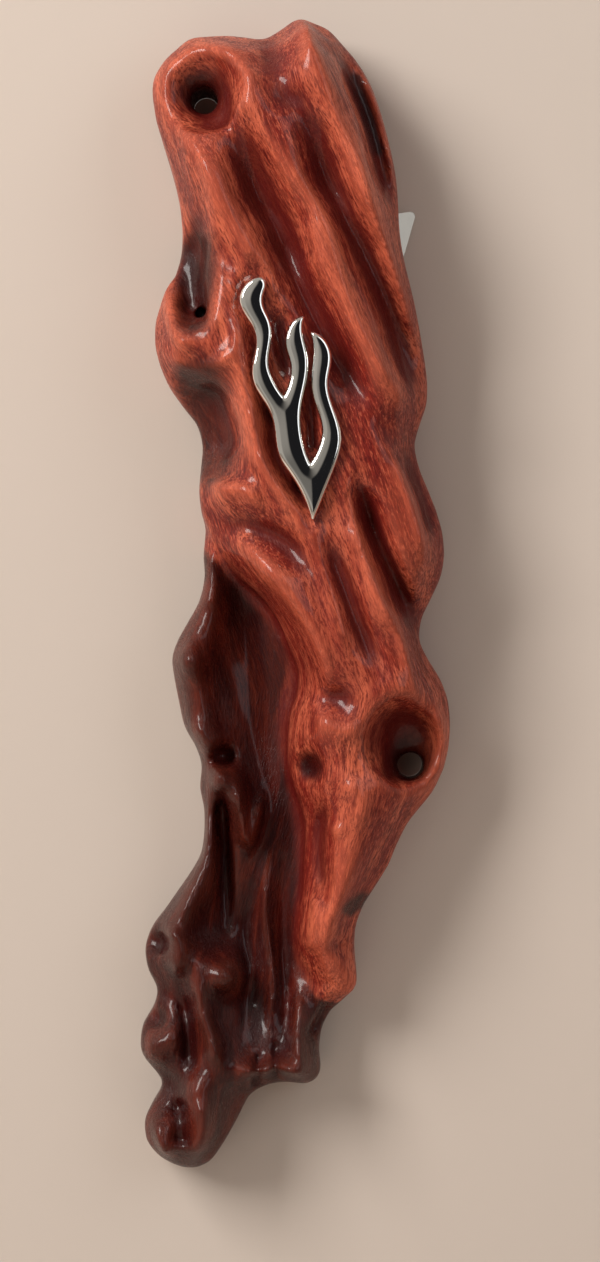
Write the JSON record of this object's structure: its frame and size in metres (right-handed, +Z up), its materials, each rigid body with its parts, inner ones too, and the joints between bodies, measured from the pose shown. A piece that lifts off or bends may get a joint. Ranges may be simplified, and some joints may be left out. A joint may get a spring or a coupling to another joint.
{
  "type": "mezuzah case",
  "caption": "Carved hardwood mezuzah case with a branched metal emblem, a scroll in a covered channel in its flat back, and two wall screw holes.",
  "frame": {"origin": "where the axis of the upper screw hole meets the wood's flat back", "axes": "+Z up along the case, +X to the right seen from the front, -Y out of the wall towards the viewer"},
  "size_m": [0.0622, 0.0293, 0.2308],
  "materials": {
    "carved_wood": "oiled, low gloss",
    "cover_wood": "satin",
    "emblem_metal": "mirror polish",
    "stud_metal": "plain",
    "screw_brass": "satin",
    "parchment": "matt",
    "clear_film": "clear, glossy",
    "clear_pad": "clear, glossy"
  },
  "bodies": {
    "case": {"case_body": "carved_wood", "emblem": "emblem_metal", "emblem_stud_upper": "stud_metal", "emblem_stud_lower": "stud_metal", "tape_upper_right": "clear_pad", "tape_upper_left": "clear_pad", "tape_lower": "clear_pad"},
    "cover": {"back_cover": "cover_wood", "cover_screw_upper": "screw_brass", "cover_screw_lower": "screw_brass"},
    "scroll": {"scroll_parchment": "parchment", "scroll_sleeve": "clear_film"}
  },
  "joints": [
    {"name": "cover_lift_off", "type": "slide", "parent": "case", "child": "cover", "axis": [0, 1, 0], "range_m": [0, 0.045]},
    {"name": "scroll_lift_out", "type": "slide", "parent": "case", "child": "scroll", "axis": [0, 1, 0], "range_m": [0, 0.0225]}
  ],
  "couplings": [
    {"joint": "scroll_lift_out", "follows": "cover_lift_off", "ratio": 0.5}
  ]
}
